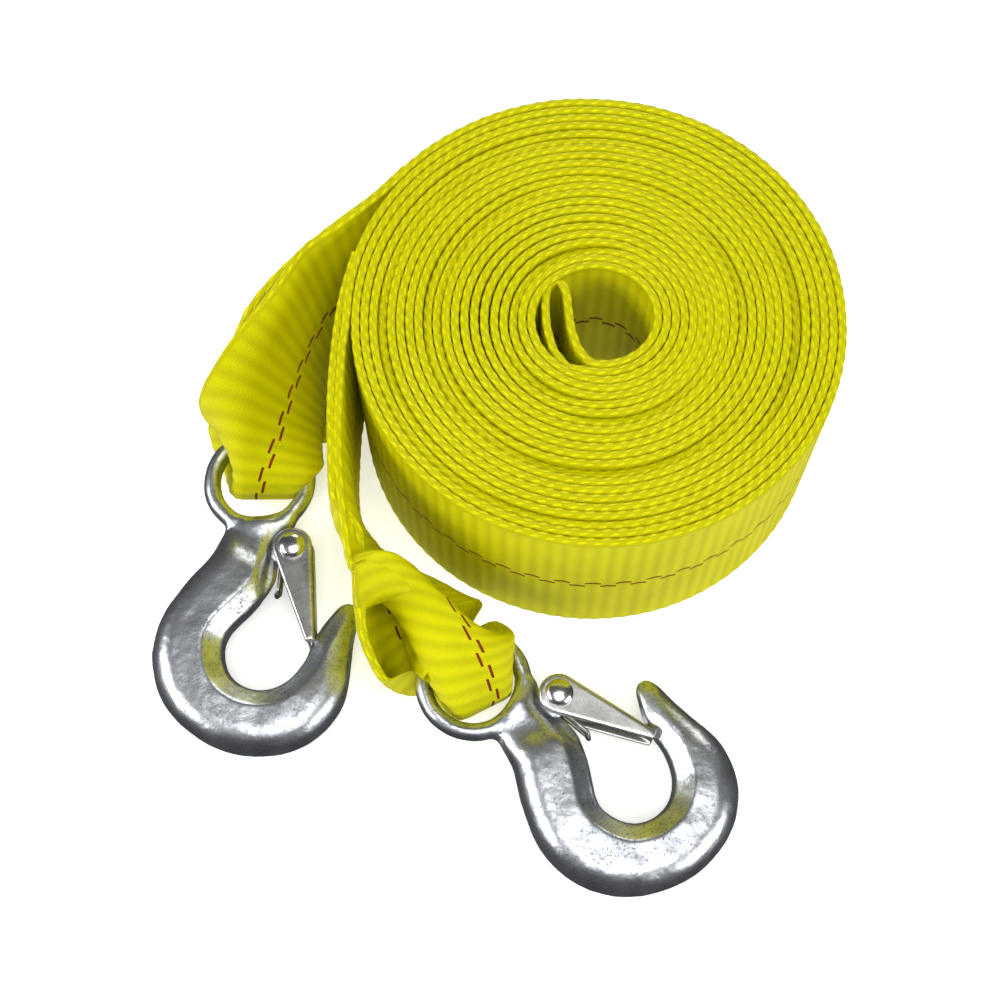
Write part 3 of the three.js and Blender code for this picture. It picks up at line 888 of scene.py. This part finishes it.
def latchField():
    cell = 0.22
    low = np.array([12.0, 1.0, -5.2])
    high = np.array([44.5, 16.5, 5.2])
    xs, ys, zs = [np.arange(a, b, cell) for a, b in zip(low, high)]
    x, y = np.meshgrid(xs, ys, indexing="ij")
    cheek = outlineField(x, y, latchOutline(0.0))[:, :, None]
    z = zs[None, None, :]
    sheet, room = hook["latchSheet"], hook["latchInner"]
    envelope = blendHigh(np.repeat(cheek, len(zs), axis=2), np.abs(z) - room - sheet, 0.9)
    # the cheeks are tied by a web at the tip, on the side away from the bowl
    lean = math.atan2(hook["latchRise"], hook["latchReach"])
    rx, ry = hook["rivet"]
    along = (x - rx) * math.cos(lean) + (y - ry) * math.sin(lean)
    across = -(x - rx) * math.sin(lean) + (y - ry) * math.cos(lean)
    top = np.interp(along, [0, hook["latchReach"]], [hook["latchEnd"], 0.6])
    webStart = across - (top - sheet)
    hollow = blendHigh(np.repeat(webStart[:, :, None], len(zs), axis=2), np.abs(z) - room, 0.9)
    disc = (np.hypot(x - rx, y - ry) - hook["bossRadius"] - hook["pocketRoom"])[:, :, None]
    boss = blendHigh(disc, np.abs(z) - room, 0.4)
    mouth = np.maximum((along - hook["latchWeb"])[:, :, None], np.abs(z) - room)
    return np.maximum(np.maximum(np.maximum(envelope, -hollow), -boss), -mouth), low, cell


def hookFrame(side):
    # the hook's own axes at rest: the eye's middle, the way to the bowl, the way to the throat, up
    up = -Vector(joints[f"latch_{side}_open"]["axis"])
    rx, ry = hook["rivet"][0] * mm, hook["rivet"][1] * mm
    low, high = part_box(f"rivet_{side}")
    heading = math.radians(hook["heading"][side])
    forward = Vector((math.cos(heading), math.sin(heading), 0))
    forward = (forward - up * forward.dot(up)).normalized()
    throat = up.cross(forward)
    eye = (low + high) / 2 - forward * rx - throat * ry
    turn = Matrix((forward, throat, up)).transposed().to_4x4()
    return Matrix.Translation(eye) @ turn


def placed(points, side):
    turn = np.array(hookFrame(side))
    spots = points * mm @ turn[:3, :3].T + turn[:3, 3]
    spots[:, 2] = lifted(spots[:, 2] / mm, 0.3) * mm
    return spots


def roughen(points, strength, size, seed):
    # small even unevenness of a forged face
    noise.seed_set(hook["noiseSeed"])
    shift = [noise.noise_vector(Vector(p / size) + Vector((seed, 0, 0))) for p in points]
    return points + np.array(shift) * strength


def makeHooks():
    field, low, cell = forgingField()
    points, faces = skin(field, low, cell)
    points = relax(points, faces, 3)
    for side, seed in (("left", 1.0), ("right", 7.0)):
        worn = roughen(roughen(points, 0.12, 5.0, seed), 0.035, 1.3, seed)
        piece = putMesh(f"forged_hook_{side}", placed(worn, side), faces, materials["forged"])
        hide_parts(f"hook_{side}")
        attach(piece, f"hook_{side}")
        print(piece.name, len(faces), "faces")


def makeLatches():
    field, low, cell = latchField()
    points, faces = skin(field, low, cell)
    points = relax(points, faces, 1)
    for side in ("left", "right"):
        piece = putMesh(f"pressed_latch_{side}", placed(points, side), faces, materials["sheet"])
        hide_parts(f"latch_{side}")
        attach(piece, f"latch_{side}")
        print(piece.name, len(faces), "faces")


rivet = {
    "pin": 1.8,
    "head": 3.3,
    "seat": 4.25,                # mm from the middle to the underside of a head
    "rim": 0.5,
    "dome": 2.0,
    "sides": 64,
}


def revolved(profile, sides):
    angles = np.linspace(0, 2 * np.pi, sides, endpoint=False)
    points = []
    for radius, height in profile:
        points += [(radius * math.cos(a), radius * math.sin(a), height) for a in angles]
    faces = []
    for number in range(len(profile) - 1):
        for j in range(sides):
            k = (j + 1) % sides
            here, above = number * sides, (number + 1) * sides
            faces.append((here + j, here + k, above + k, above + j))
    faces.append(tuple(reversed(range(sides))))
    faces.append(tuple(range(len(points) - sides, len(points))))
    return points, faces


def makeRivets():
    seat, head = rivet["seat"], rivet["head"]
    upper = [(rivet["pin"], seat), (head - 0.15, seat), (head, seat + 0.15), (head, seat + rivet["rim"])]
    for part in range(1, 13):
        angle = math.pi / 2 * part / 12.4
        dome = (rivet["dome"] - rivet["rim"]) * math.sin(angle)
        upper.append((head * math.cos(angle), seat + rivet["rim"] + dome))
    profile = [(radius, -height) for radius, height in reversed(upper)] + upper
    points, faces = revolved(profile, rivet["sides"])
    points = np.array(points) + np.array([*hook["rivet"], 0])
    for side in ("left", "right"):
        mesh = bpy.data.meshes.new(f"domed_rivet_{side}")
        mesh.from_pydata(placed(points, side).tolist(), [], faces)
        mesh.materials.append(materials["rivet"])
        mesh.shade_smooth()
        piece = bpy.data.objects.new(f"domed_rivet_{side}", mesh)
        bpy.context.scene.collection.objects.link(piece)
        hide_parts(f"rivet_{side}")
        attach(piece, f"hook_{side}")


makeHooks()
makeLatches()
makeRivets()
print("hooks ready")


# ---- the springs

spring = {
    "wire": 0.45,                # mm, half its thickness
    "coil": 2.75,                # radius of its coils round the rivet
    "coilRise": 2.05,            # from the middle to the coil's first turn
    "turns": 1.9,
    "sides": 10,
    "legReach": 15.5,            # mm along the shank, from the rivet
    "legDrop": -4.6,
}


def springTree():
    tree = bpy.data.node_groups.new("woundWire", "GeometryNodeTree")
    tree.is_modifier = True
    tree.interface.new_socket("Geometry", in_out="INPUT", socket_type="NodeSocketGeometry")
    wire = tree.interface.new_socket("Wire Radius", in_out="INPUT", socket_type="NodeSocketFloat")
    sides = tree.interface.new_socket("Wire Sides", in_out="INPUT", socket_type="NodeSocketInt")
    tree.interface.new_socket("Geometry", in_out="OUTPUT", socket_type="NodeSocketGeometry")
    nodes, links = tree.nodes, tree.links
    start = nodes.new("NodeGroupInput")
    circle = nodes.new("GeometryNodeCurvePrimitiveCircle")
    links.new(start.outputs["Wire Radius"], circle.inputs["Radius"])
    links.new(start.outputs["Wire Sides"], circle.inputs["Resolution"])
    even = nodes.new("GeometryNodeResampleCurve")
    even.mode = "LENGTH"
    even.inputs["Length"].default_value = 0.35 * mm
    links.new(start.outputs["Geometry"], even.inputs["Curve"])
    sweep = nodes.new("GeometryNodeCurveToMesh")
    sweep.inputs["Fill Caps"].default_value = True
    links.new(even.outputs["Curve"], sweep.inputs["Curve"])
    links.new(circle.outputs["Curve"], sweep.inputs["Profile Curve"])
    real = nodes.new("GeometryNodeRealizeInstances")
    links.new(sweep.outputs["Mesh"], real.inputs["Geometry"])
    paint = nodes.new("GeometryNodeSetMaterial")
    paint.inputs["Material"].default_value = materials["wire"]
    links.new(real.outputs["Geometry"], paint.inputs["Geometry"])
    end = nodes.new("NodeGroupOutput")
    links.new(paint.outputs["Geometry"], end.inputs["Geometry"])
    return tree, wire.identifier, sides.identifier


def springPath():
    # one wire: a coil on each face of the boss, and a looped leg that bears on the shank
    half = []
    for number in range(int(spring["turns"] * 24) + 1):
        angle = math.radians(-70 - number * 15)
        height = spring["coilRise"] + 0.35 * (1 - number / 46)
        half.append((spring["coil"] * math.cos(angle), spring["coil"] * math.sin(angle), height))
    half = half[::-1]
    reach, drop = spring["legReach"], spring["legDrop"]
    half += [(4.0, -3.0, 2.2), (7.0, -3.4, 2.3), (reach * 0.66, drop * 0.85, 2.1)]
    half += [(reach * 0.72, drop, 1.1), (reach * 0.73, drop * 1.02, 0)]
    far = [(px, py, -pz) for px, py, pz in half[-2::-1]]
    return np.array(half + far) + np.array([*hook["rivet"], 0])


def makeSprings():
    tree, wireSocket, sidesSocket = springTree()
    for side in ("left", "right"):
        path = placed(springPath(), side)
        line = bpy.data.curves.new(f"wire_path_{side}", "CURVE")
        line.dimensions = "3D"
        spline = line.splines.new("POLY")
        spline.points.add(len(path) - 1)
        for point, place in zip(spline.points, path):
            point.co = (*place, 1)
        source = bpy.data.objects.new(f"wire_path_{side}", line)
        bpy.context.scene.collection.objects.link(source)
        modifier = source.modifiers.new("woundWire", "NODES")
        modifier.node_group = tree
        modifier[wireSocket] = spring["wire"] * mm
        modifier[sidesSocket] = spring["sides"]
        bpy.context.view_layer.update()
        wound = source.evaluated_get(bpy.context.evaluated_depsgraph_get())
        mesh = bpy.data.meshes.new_from_object(wound)
        mesh.name = f"wire_spring_{side}"
        mesh.shade_smooth()
        piece = bpy.data.objects.new(mesh.name, mesh)
        bpy.context.scene.collection.objects.link(piece)
        bpy.data.objects.remove(source)
        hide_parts(f"spring_{side}")
        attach(piece, f"hook_{side}")


makeSprings()
print("springs ready")
